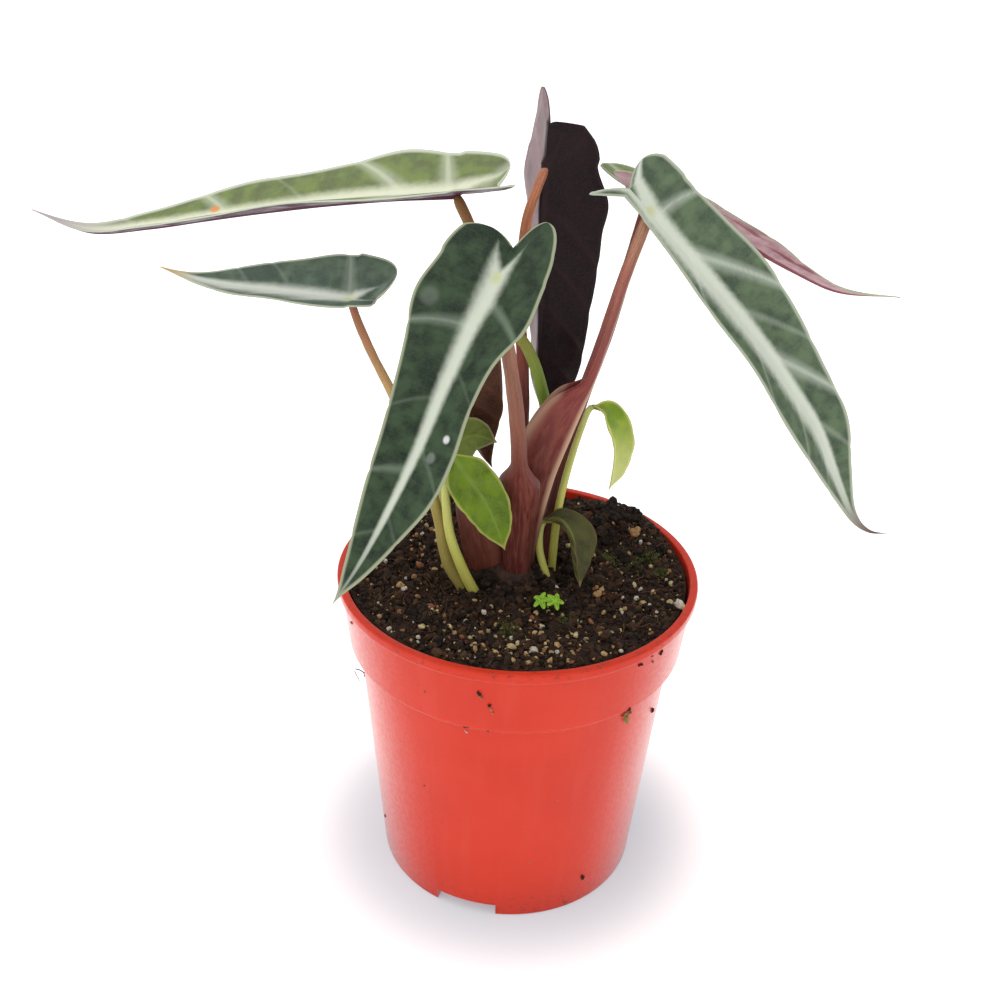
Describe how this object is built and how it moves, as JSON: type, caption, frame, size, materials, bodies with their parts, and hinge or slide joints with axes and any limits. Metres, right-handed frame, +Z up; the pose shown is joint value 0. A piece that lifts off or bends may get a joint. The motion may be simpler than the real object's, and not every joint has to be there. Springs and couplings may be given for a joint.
{
  "type": "potted african mask alocasia",
  "caption": "Small arrow-leaved alocasia with long drooping pale-ribbed leaves and sheathed red stalks, in a round plastic nursery pot of soil.",
  "frame": {"origin": "below the middle of the whole plant's box, on the surface that the pot stands on; the pot's own axis passes through X 13.9 mm, Y 5.8 mm", "axes": "+Z up the pot's axis; -Y towards the side that the front leaf hangs over; +X to the right of that side"},
  "size_m": [0.2112, 0.1016, 0.2001],
  "materials": {
    "leaf": "satin green upper side with pale ribs, wine red underside",
    "young_leaf": "satin, almost black purple",
    "stalk": "satin, red brown to green, streaked",
    "sucker": "satin bright green",
    "seedling": "matt bright green",
    "corm": "rough brown",
    "pot": "semi-gloss moulded, red orange",
    "soil": "crumbly dark peat with pale grains"
  },
  "bodies": {
    "root": {"blade_front": "leaf", "blade_right": "leaf", "blade_left_upper": "leaf", "blade_left_lower": "leaf", "blade_young": "young_leaf", "blade_right_back": "leaf", "blade_middle": "leaf", "petiole_front": "stalk", "petiole_right": "stalk", "petiole_left_upper": "stalk", "petiole_left_lower": "stalk", "petiole_young": "stalk", "petiole_right_back": "stalk", "petiole_middle": "stalk", "sucker_leaf_front": "sucker", "sucker_leaf_right": "sucker", "sucker_leaf_low": "sucker", "sucker_leaf_back": "sucker", "seedling": "seedling", "corm": "corm", "pot": "pot", "soil": "soil"}
  },
  "joints": []
}
